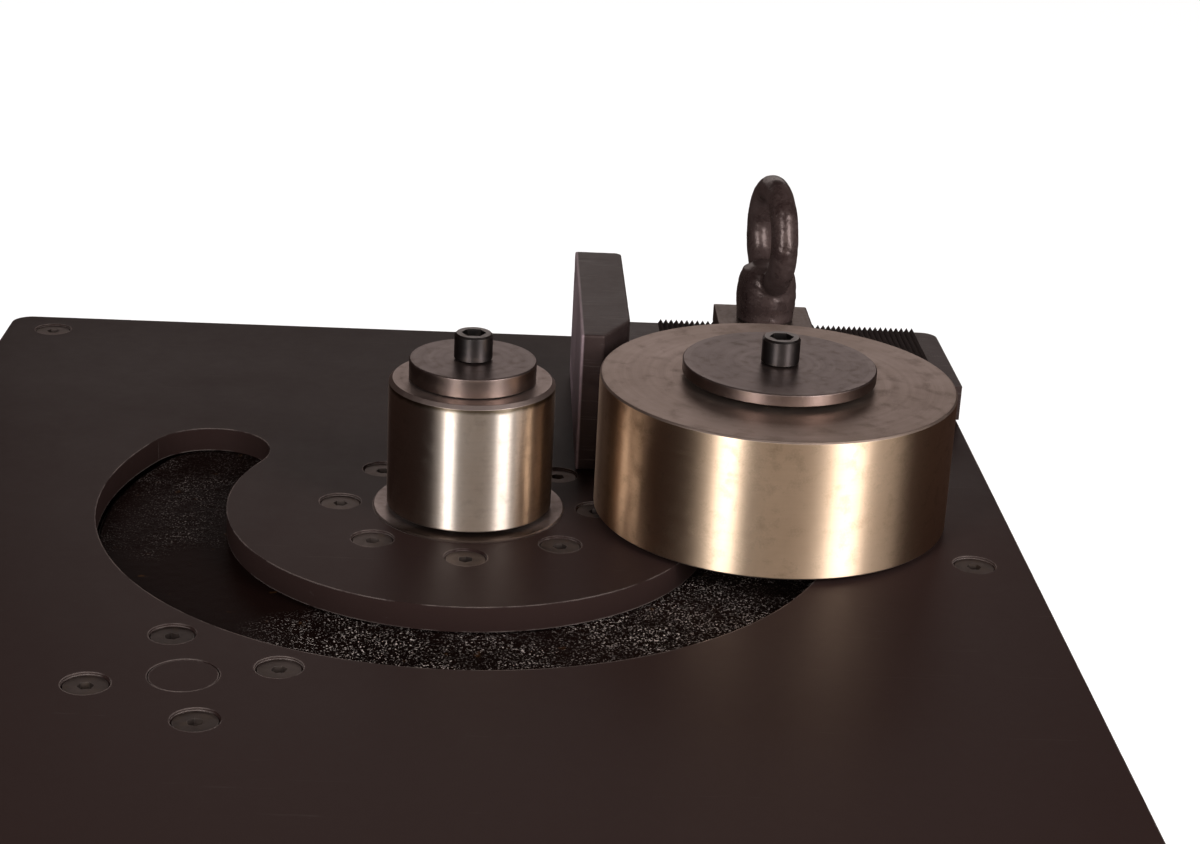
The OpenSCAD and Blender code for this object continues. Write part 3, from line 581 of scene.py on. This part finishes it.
greyPaint = dict(tablePaint, colour=(0.075, 0.085, 0.095), cloudColour=(0.095, 0.10, 0.105), cloudScale=9.0,
                 rough=0.42, specular=0.4,
                 gloss=(1, 1, 1), scratchColour=(0.16, 0.16, 0.16), bare=(0.3, 0.28, 0.27))
rollerSteel = {
    "colour": (0.58, 0.505, 0.445), "lines": 2600.0, "stainScale": 16.0, "stainCover": 0.46, "stainSoft": 0.2,
    "stainShow": 0.5,
    "stainColour": (0.44, 0.33, 0.25), "spotCover": 0.22, "spotSoft": 0.12, "spotShow": 0.32,
    "spotColour": (0.16, 0.11, 0.07), "streak": 0.22, "streakRough": 0.07,
    "scratchScale": 60.0, "scratches": 0.2, "edge": 0.0008, "edgePatch": 90.0, "edgeShow": 0.15,
    "bare": (0.75, 0.70, 0.64),
    "rough": 0.35, "stainRough": 0.05, "spotRough": 0.15, "bandRough": 0.12, "bump": 0.025,
    "bumpDepth": 0.0003, "aniso": 0.97,
    # painted shade: a dark band under the top chamfer and a dark line near the foot
    "shadeBands": ((0.1035, 0.0034, (0.12, 0.088, 0.055), 0.9), (0.0046, 0.0012, (0.14, 0.09, 0.05), 0.7)),
}
bendSteel = dict(rollerSteel, colour=(0.72, 0.535, 0.385), stainColour=(0.42, 0.275, 0.165), stainScale=11.0,
                 stainCover=0.5, stainShow=0.42, streak=0.12,
                 spotCover=0.22, spotSoft=0.12, spotColour=(0.14, 0.08, 0.04), spotShow=0.34, rough=0.39,
                 # painted shade: a thin dark line under the top edge
                 shadeBands=((0.1125, 0.0008, (0.12, 0.08, 0.05), 0.8),))
faceSteel = dict(rollerSteel, colour=(0.34, 0.27, 0.25), stainColour=(0.23, 0.17, 0.14), lines=1400.0,
                 rough=0.40, streakRough=0.08, aniso=0.0, shadeBands=(), streak=0.12, spotCover=0.2, spotShow=0.35)
bendFaceSteel = dict(faceSteel, colour=(0.36, 0.28, 0.245), stainColour=(0.23, 0.16, 0.115), stainShow=0.6,
                     stainScale=9.0)
discSteel = dict(faceSteel, colour=(0.15, 0.112, 0.106), stainColour=(0.10, 0.074, 0.068), rough=0.36,
                 edgeShow=0.5, bare=(0.42, 0.37, 0.34))
discSide = dict(discSteel, colour=(0.20, 0.145, 0.127), rough=0.36, aniso=0.6)
oxideSteel = dict(faceSteel, colour=(0.085, 0.077, 0.077), stainColour=(0.05, 0.042, 0.042), lines=2500.0,
                  rough=0.30, edgeShow=0.5, bare=(0.36, 0.33, 0.31), streak=0.08)
screwSteel = dict(oxideSteel, colour=(0.045, 0.033, 0.030), stainColour=(0.19, 0.15, 0.135), stainScale=13.0,
                  stainCover=0.42, stainShow=0.8, rough=0.5, edgeShow=0.3)
ringSteel = dict(faceSteel, colour=(0.42, 0.35, 0.335), stainColour=(0.10, 0.07, 0.055), stainCover=0.5,
                 stainScale=22.0, stainShow=0.6, rough=0.42,
                 # painted shade: the front of the ring darkened
                 frontShade=(-0.040, -0.056, (0.045, 0.028, 0.02), 0.92))
gearSteel = dict(faceSteel, colour=(0.10, 0.085, 0.078), stainColour=(0.05, 0.038, 0.033), rough=0.42,
                 lines=500.0)
bushBronze = dict(faceSteel, colour=(0.50, 0.31, 0.15), stainColour=(0.30, 0.18, 0.09), rough=0.34)
clampSteel = dict(faceSteel, colour=(0.16, 0.125, 0.112), stainColour=(0.07, 0.05, 0.042), rough=0.42,
                  lines=400.0, stainScale=30.0)
plasticFinish = dict(tablePaint, colour=(0.012, 0.012, 0.013), cloudColour=(0.016, 0.016, 0.017), rough=0.38,
                     edgeShow=0.0, scratchShow=0.1, specular=0.5, dust=0.05, gloss=(1, 1, 1))

toBend, toRoller = tuple(bendAxis), tuple(rollerAxis)
blockScuffed, forgedDark = paintMaterial("blockScuffed", blockPaint), paintMaterial("forgedDark", forgedPaint)
clampGround = steelMaterial("clampGround", clampSteel, tuple(studAxis))
giveMaterial(paintMaterial("tableSatin", tablePaint), "table_plate", "shaft_plug", "slide_guides")
giveMaterial(blockScuffed, "stop_bar")
giveMaterial(paintMaterial("slideDark", dict(blockPaint, edgeShow=0.4)), "stop_slide")
giveMaterial(forgedDark, "eye_nut")
giveMaterial(paintMaterial("cabinetSatin", cabinetPaint), "base_frame", "corner_posts", "top_frame",
             "mid_rails", "side_panels", "front_panel", "back_panel", "rear_door", "fan_cowl")
giveMaterial(paintMaterial("driveGrey", greyPaint), "upper_bearing_housing", "lower_bearing_housing",
             "gearbox_case", "motor_body", "mount_plate", "control_panel")
giveMaterial(steelMaterial("centreRing", ringSteel, toBend), "centre_ring")
giveMaterial(steelMaterial("centreGround", dict(rollerSteel, shadeBands=()), toBend), "centre_roller",
             "centre_pin")
giveMaterial(steelMaterial("bendGround", bendSteel, toRoller), "bending_roller", "bending_pin")
giveMaterial(steelMaterial("centreDisc", discSteel, toBend), "centre_cap", "centre_post", "post_retainer")
giveMaterial(steelMaterial("bendDisc", discSteel, toRoller), "bending_cap", "bending_pin_nut")
giveMaterial(steelMaterial("centreOxide", oxideSteel, toBend), "centre_cap_screw")
giveMaterial(steelMaterial("bendOxide", oxideSteel, toRoller), "bending_cap_screw")
giveMaterial(steelMaterial("sunkScrews", screwSteel), "table_screws", "flange_screws", "stop_bar_screws",
             "guide_screws", "panel_screws", "angle_sensor", "door_hinges")
giveMaterial(steelMaterial("gearCut", gearSteel, toBend), "bull_gear", "slot_cover", "intermediate_gear")
giveMaterial(steelMaterial("shaftGround", dict(rollerSteel, aniso=0.0, shadeBands=())), "pinion_shaft",
             "shaft_bearings", "drive_pinion")
giveMaterial(steelMaterial("bushTurned", bushBronze, toBend), "gear_bush", "centre_roller_bush",
             "bending_roller_bush")
giveMaterial(clampGround, "clamp_block", "clamp_washer", "clamp_stud")
giveMaterial(paintMaterial("blackPlastic", plasticFinish), "motor_fan", "terminal_box", "stop_button",
             "angle_dial", "isolator_switch", "cable_gland")
giveMaterial(paintMaterial("greenPlastic",
                           dict(plasticFinish, colour=(0.02, 0.22, 0.06), cloudColour=(0.03, 0.24, 0.07))),
                           "start_button")
giveMaterial(paintMaterial("redPlastic", dict(plasticFinish, colour=(0.55, 0.02, 0.012),
                                              cloudColour=(0.58, 0.03, 0.02))), "emergency_stop")
print("materials given")

rollerSetup = {  # chamfers in metres: at the foot and at the top
    "centre": {"node": "centre_roller", "bush": "centre_roller_bush", "foot": 0.0012, "top": 0.0030,
               "body": "centre_roller"},
    "bend": {"node": "bending_roller", "bush": "bending_roller_bush", "foot": 0.0012, "top": 0.0014,
             "body": "bending_roller"},
    "centreDisc": {"node": "centre_cap", "bore": 0.0106, "foot": 0.0005, "top": 0.0009, "body": "frame"},
    "bendDisc": {"node": "bending_cap", "bore": 0.0106, "foot": 0.0005, "top": 0.0009,
                 "body": "bending_drive"},
    "round": 0.00025,
    "faceFrom": 0.35,  # the upright part of the normal from which a quad belongs to a face
}


# a turned ring: a chamfered outline carried round; ends and chamfers have their own finish
def makeTurned(name, p, sideMat, faceMat, slot):
    low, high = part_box(p["node"])
    middle = [(low[0] + high[0]) / 2, (low[1] + high[1]) / 2, 0]
    outer = (high[0] - low[0]) / 2
    if "bush" in p:
        bushLow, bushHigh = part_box(p["bush"])
        bore = (bushHigh[0] - bushLow[0]) / 2
    else:
        bore = p["bore"]
    corners = [(outer - p["foot"], low[2]), (outer, low[2] + p["foot"]), (outer, high[2] - p["top"]),
               (outer - p["top"], high[2]), (bore, high[2]), (bore, low[2])]
    piece = lathe(name, roundedLoop(corners, [rollerSetup["round"]] * 6), middle)
    upright = np.empty(len(piece.data.polygons) * 3)
    piece.data.polygons.foreach_get("normal", upright)
    placePiece(piece, sideMat, p["body"], slot, p["node"])
    piece.data.materials.append(faceMat)
    piece.data.polygons.foreach_set("material_index",
                                    (np.abs(upright[2::3]) > rollerSetup["faceFrom"]).astype(int))


makeTurned("centreRollerTurned", rollerSetup["centre"], steelMaterial("centreSide", rollerSteel, toBend),
           steelMaterial("centreFace", faceSteel, toBend), "ground_steel")
makeTurned("bendRollerTurned", rollerSetup["bend"], steelMaterial("bendSide", bendSteel, toRoller),
           steelMaterial("bendFace", bendFaceSteel, toRoller), "ground_steel")
makeTurned("centreDiscTurned", rollerSetup["centreDisc"], steelMaterial("centreDiscSide", discSide, toBend),
           steelMaterial("centreDiscFace", discSteel, toBend), "dark_steel")
makeTurned("bendDiscTurned", rollerSetup["bendDisc"], steelMaterial("bendDiscSide", discSide, toRoller),
           steelMaterial("bendDiscFace", discSteel, toRoller), "dark_steel")
print("rollers and discs turned")

scaleSetup = {  # mill scale and grit on the cover in the slot, all in metres and degrees
    "inner": 0.174, "outer": 0.2882, "rings": 62, "spokes": 1100, "base": 0.0004,
    "drift": 0.0008, "grain": 0.0018, "speck": 0.0008, "grainCell": 0.0030, "speckCell": 0.0015,
    "driftCell": 0.017,
    # painted shade: the stretch of angles at the front left that is left without grit
    "shadeFrom": 190, "shadeTo": 236, "shadeEdge": 8, "wander": 10, "wanderCell": 0.03,
    "thinFrom": 110, "thinOver": 40, "thinPast": 20, "thin": 0.72, "least": 0.35, "patchCell": 0.045,
    "grainAbove": 0.4, "ripple": 0.00015, "rippleCell": 0.006, "under": -0.0002, "seed": 7,
}
gritFinish = {
    "bareColour": (0.0036, 0.0017, 0.0013), "shadeColour": (0.0070, 0.0032, 0.0026),
    # painted glints: the near-white colour of the specks
    "glintColour": (0.62, 0.53, 0.49), "rustColour": (0.030, 0.013, 0.005),
    "speckScale": 620.0, "speckLow": 0.585, "speckHigh": 0.66, "patchScale": 34.0, "rough": 0.42,
    "specular": 0.01, "bump": 0.9, "bumpDepth": 0.0012, "bumpScale": 800.0, "rustScale": 70.0,
}


# black scale with near-white specks, painted glints in place of the light the grains catch; both fade with
# the "cover" that the mesh carries
def gritMaterial(name, p):
    mat, tree, shader, where = startMaterial(name)
    cover = addNode(tree, "Attribute", attribute_name="cover").outputs["Fac"]
    grains = noise(tree, where, p["speckScale"], 2.0, Roughness=0.6)
    patches = noise(tree, where, p["patchScale"], 2.0)
    glintSpecks = times(tree, mapRange(tree, grains, p["speckLow"], p["speckHigh"]),
                   mapRange(tree, patches, 0.36, 0.60, 0.25, 1.0))
    glintSpecks = times(tree, glintSpecks, cover)
    rust = noise(tree, where, p["rustScale"], 3.0)
    # painted shade: where the cover is gone, a dark brown colour in place of shadow
    colour = mixColour(tree, cover, p["shadeColour"], p["bareColour"])
    colour = mixColour(tree, mapRange(tree, rust, 0.68, 0.74), colour, p["rustColour"])
    # painted glints: the specks laid over the colour
    colour = mixColour(tree, glintSpecks, colour, p["glintColour"])
    lumpy = noise(tree, where, p["bumpScale"], 4.0)
    height = times(tree, lumpy, mapRange(tree, cover, 0.0, 1.0, 0.12, 1.0))
    rough = mapRange(tree, cover, 0.0, 1.0, p["rough"], p["rough"] + 0.12)
    wire(tree, shader, colour=colour, rough=rough, normal=bump(tree, height, p["bump"], p["bumpDepth"]))
    wire(tree, shader, **{"Specular IOR Level": p["specular"], "Specular Tint": (*warmGloss, 1)})
    return mat


# height = base + cover (drift + grain + speck) + ripple, each a lumpy noise of its own size;
# cover fades out over a stretch at the front left: painted shade, the grit left out so the slot reads dark
# there in place of shadow
def makeScale(p):
    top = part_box("slot_cover")[1][2]
    a = np.arange(p["spokes"]) * 2 * pi / p["spokes"]
    r = np.linspace(p["inner"], p["outer"], p["rings"])
    x, y = np.outer(np.cos(a), r), np.outer(np.sin(a), r)
    turn = np.degrees(a)[:, None] + p["wander"] * (lumps(x, y, p["wanderCell"], p["seed"] + 4) - 0.5)
    shadeZone = np.clip((turn - p["shadeFrom"]) / p["shadeEdge"], 0,
                    1) * np.clip((p["shadeTo"] - turn) / p["shadeEdge"], 0, 1)
    patches = np.clip(lumps(x, y, p["patchCell"], p["seed"]) * 2.2 - 0.4, 0, 1)
    cover = (1 - shadeZone) * (p["least"] + (1 - p["least"]) * patches)
    cover = cover * (1 - p["thin"] * np.clip((turn - p["thinFrom"]) / p["thinOver"], 0,
                                             1) * (turn < p["shadeFrom"] + p["thinPast"]))
    grains = np.clip(lumps(x, y, p["grainCell"], p["seed"] + 1) - p["grainAbove"], 0,
                     1) / (1 - p["grainAbove"])
    drift = p["drift"] * lumps(x, y, p["driftCell"], p["seed"] + 2)
    speck = p["speck"] * lumps(x, y, p["speckCell"], p["seed"] + 3)
    z = p["base"] + cover * (drift + p["grain"] * grains + speck)
    z = z + p["ripple"] * lumps(x, y, p["rippleCell"], p["seed"] + 5)
    skin = np.stack([x, y, z], -1)
    under = np.stack([np.stack([np.cos(a) * e, np.sin(a) * e, np.full(len(a), p["under"])],
                               -1) for e in (p["inner"], p["outer"])], 1)
    grid = np.concatenate([skin[:, ::-1], under], 1) + np.array([bendAxis.x, bendAxis.y, top])
    piece = makeMesh("slotScale", grid.reshape(-1, 3), gridFaces(p["spokes"], p["rings"] + 2))
    spread = np.concatenate([cover[:, ::-1], np.zeros((p["spokes"], 2))], 1)
    piece.data.attributes.new("cover", "FLOAT", "POINT").data.foreach_set("value",
            spread.ravel().astype(np.float32))
    return piece


placePiece(makeScale(scaleSetup), gritMaterial("gritBlack", gritFinish), "bending_drive", "dark_steel")
print("scale laid in the slot")

eyeSetup = {  # forged eye nut: ring, tapered collar and blind bore, in metres above its foot
    "ring": 0.0437, "wire": 0.0123, "lift": 0.0785, "side": 0.0013, "turn": 99, "bore": 0.0151,
    "boreTop": 0.035,
    "collar": ((0.0260, 0.0), (0.0266, 0.0015), (0.0266, 0.010), (0.0274, 0.0135), (0.0277, 0.022),
               (0.0270, 0.032), (0.0256, 0.041), (0.0226, 0.0475), (0.0150, 0.052)),
    "crown": 0.053, "axisGap": 0.0003, "ringSteps": 120, "wireSteps": 40, "middle": 0.05,
    "voxel": 0.0012, "rounds": 4, "dent": 0.0009, "dentCell": 0.009, "seed": 3,
}


# ring: a circle of radius wire carried round one of radius ring;
# collar: (radius, height) points carried round the stud
def makeEye(p):
    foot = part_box("eye_nut")[0][2]
    spokes, steps = p["ringSteps"], p["wireSteps"]
    a, b = np.arange(spokes) * 2 * pi / spokes, np.arange(steps) * 2 * pi / steps
    across = p["ring"] + p["wire"] * np.outer(np.ones(spokes), np.cos(b))
    thick = p["wire"] * np.outer(np.ones(spokes), np.sin(b))
    lift = p["lift"] + across * np.sin(a)[:, None]
    sideways, turn = across * np.cos(a)[:, None], radians(p["turn"])
    ring = np.stack([p["side"] + sideways * cos(turn) - thick * sin(turn),
                     sideways * sin(turn) + thick * cos(turn), lift], -1)
    loop = np.array([(p["axisGap"], p["boreTop"]), (p["bore"], p["boreTop"]), (p["bore"], 0.0), *p["collar"],
                     (p["axisGap"], p["crown"])])
    grid = np.stack([np.outer(np.cos(a), loop[:, 0]), np.outer(np.sin(a), loop[:, 0]),
                     np.tile(loop[:, 1], (spokes, 1))], -1)
    mesh = bpy.data.meshes.new("forgedEye")
    points = np.vstack([ring.reshape(-1, 3), grid.reshape(-1, 3)]) + np.array([studAxis.x, studAxis.y, foot])
    faces = np.vstack([gridFaces(spokes, steps), gridFaces(spokes, len(loop)) + spokes * steps])
    mesh.from_pydata(points.tolist(), [], faces.tolist())
    piece, points, edges = evenSkin("forgedEye", mesh, p["voxel"])
    points = relax(points, edges, p["rounds"])
    out = points - np.array([studAxis.x, studAxis.y, foot + p["middle"]])
    dent = lumps(points[:, 0] + 2 * points[:, 2], points[:, 1] - points[:, 2], p["dentCell"], p["seed"]) - 0.5
    setPoints(piece, points + out / np.linalg.norm(out, axis=1, keepdims=True) * dent[:, None] * p["dent"])
    return piece


placePiece(makeEye(eyeSetup), forgedDark, "eye_nut", "black_brown_paint", "eye_nut")
print("eye nut forged")

# voxels, dents and noise cells in metres; noise above the two levels chips an edge or dents a side
wornSetup = {
    "weld": 1e-5, "chipAbove": 0.5, "dentAbove": 0.7,
    "stop_bar": {"name": "stopBarWorn", "voxel": 0.0015, "rounds": 2, "chip": 3.0, "dent": 0.0022,
                 "cell": 0.006, "seed": 11},
    "clamp_block": {"name": "clampBlockWorn", "voxel": 0.0011, "rounds": 2, "chip": 2.0, "dent": 0.0002,
                    "cell": 0.005, "seed": 12},
}


# a copy of the solid as an even skin: each point moves on along the way that smoothing pulls it,
# further where the noise is high, and a second noise presses dents in towards the middle
def makeWorn(node, p):
    mesh = nodes[node].data.copy()
    form = bmesh.new()
    form.from_mesh(mesh)
    bmesh.ops.remove_doubles(form, verts=form.verts, dist=wornSetup["weld"])
    form.to_mesh(mesh)
    form.free()
    piece, points, edges = evenSkin(p["name"], mesh, p["voxel"])
    soft = relax(points, edges, p["rounds"])
    chip = np.clip(lumps(points[:, 0] + points[:, 2], points[:, 1] + points[:, 2] * 0.7, p["cell"],
                         p["seed"]) - wornSetup["chipAbove"], 0, 1)
    middle = points.mean(0)
    out = (soft - middle) / np.linalg.norm(soft - middle, axis=1, keepdims=True)
    dent = np.clip(lumps(points[:, 0] * 0.4 + points[:, 2], points[:, 1], p["cell"] * 2,
                         p["seed"] + 1) - wornSetup["dentAbove"], 0, 1)
    setPoints(piece, soft + (soft - points) * chip[:, None] * p["chip"] - out * dent[:, None] * p["dent"])
    return piece


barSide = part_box("stop_bar")[0][0]
# painted highlight: the bar's left side is painted pale in patches
barScuffedSideLit = paintMaterial("barScuffedSideLit", dict(blockPaint,
                                              sideHighlight=(barSide + 0.0030, barSide + 0.0016, (0.30, 0.22, 0.24),
                                                      0.95)))
placePiece(makeWorn("stop_bar", wornSetup["stop_bar"]), barScuffedSideLit, "back_stop", "black_brown_paint",
           "stop_bar")
placePiece(makeWorn("clamp_block", wornSetup["clamp_block"]), clampGround, "clamp", "dark_steel",
           "clamp_block")
print("stop bar and clamp worn in")

panelSetup = {  # rings round the controls: node, bore, outer radius and thickness in metres
    "startRim": ("start_button", 0.0118, 0.0160, 0.0040),
    "stopRim": ("stop_button", 0.0118, 0.0160, 0.0040),
    "emergencyRim": ("emergency_stop", 0.0200, 0.0285, 0.0018),
    "dialRim": ("angle_dial", 0.0268, 0.0292, 0.0022),
}
# ticks round the dial: angles in degrees, the rest in metres; every third tick is long
dialSetup = {"from": -40, "to": 220, "count": 27, "every": 3, "inner": 0.0305, "short": 0.0330,
             "long": 0.0350, "width": 0.0007, "thick": 0.0004, "sunk": 0.0002}
rimSetup = {"spokes": 96, "footRound": 0.0001,
            "edgeRound": 0.35}  # the outer edge's rounding is a share of the thickness
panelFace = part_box("control_panel")[0][1]


def panelSpot(node):
    low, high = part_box(node)
    return Vector(((low[0] + high[0]) / 2, panelFace, (low[2] + high[2]) / 2))


# a rounded outline carried round, then tipped to face the operator: (x, y, z) becomes (x, -z, y)
def makeRim(name, node, bore, outer, thick):
    foot, edge = rimSetup["footRound"], thick * rimSetup["edgeRound"]
    corners = [(outer, -dialSetup["sunk"]), (outer, thick), (bore, thick), (bore, -dialSetup["sunk"])]
    rim = lathe(name, roundedLoop(corners, [foot, edge, edge, foot]), (0, 0, 0), rimSetup["spokes"])
    rim.data.transform(Matrix.Translation(panelSpot(node)) @ Matrix.Rotation(pi / 2, 4, "X"))
    return rim


# thin bars at even angles a, each with eight corners (r, t):
# x = r cos a - t sin a, z = r sin a + t cos a
def makeTicks(p):
    a = np.radians(np.linspace(p["from"], p["to"], p["count"]))[:, None]
    reach = np.where(np.arange(p["count"]) % p["every"] == 0, p["long"], p["short"])[:, None]
    r = np.where(np.array([0, 1, 1, 0] * 2) == 1, reach, p["inner"])
    t = np.array([-0.5, -0.5, 0.5, 0.5] * 2) * p["width"]
    y = np.array([p["sunk"]] * 4 + [-p["thick"]] * 4) + np.zeros_like(r)
    corners = np.stack([r * np.cos(a) - t * np.sin(a), y, r * np.sin(a) + t * np.cos(a)],
                       -1) + np.array(panelSpot("angle_dial"))
    sides = np.array([(0, 3, 2, 1), (4, 5, 6, 7), (0, 1, 5, 4), (1, 2, 6, 5), (2, 3, 7, 6), (3, 0, 4, 7)])
    faces = sides[None] + 8 * np.arange(p["count"])[:, None, None]
    return makeMesh("dialTicks", corners.reshape(-1, 3), faces.reshape(-1, 4), smooth=False)


rimBlack = paintMaterial("rimBlack", dict(plasticFinish, rough=0.3))
for name, given in panelSetup.items():
    placePiece(makeRim(name, *given), rimBlack, "frame", "black_plastic")
placePiece(makeTicks(dialSetup), paintMaterial("tickPale",
                                               dict(greyPaint, colour=(0.6, 0.6, 0.58),
                                                    cloudColour=(0.5, 0.5, 0.48))), "frame", "grey_paint")
print("control panel fitted")

floorMat, floorTree, floorShader = startMaterial("floorPale")[:3]
wire(floorTree, floorShader, colour=(0.93, 0.93, 0.93, 1), rough=0.9)
floor.data.materials.append(floorMat)
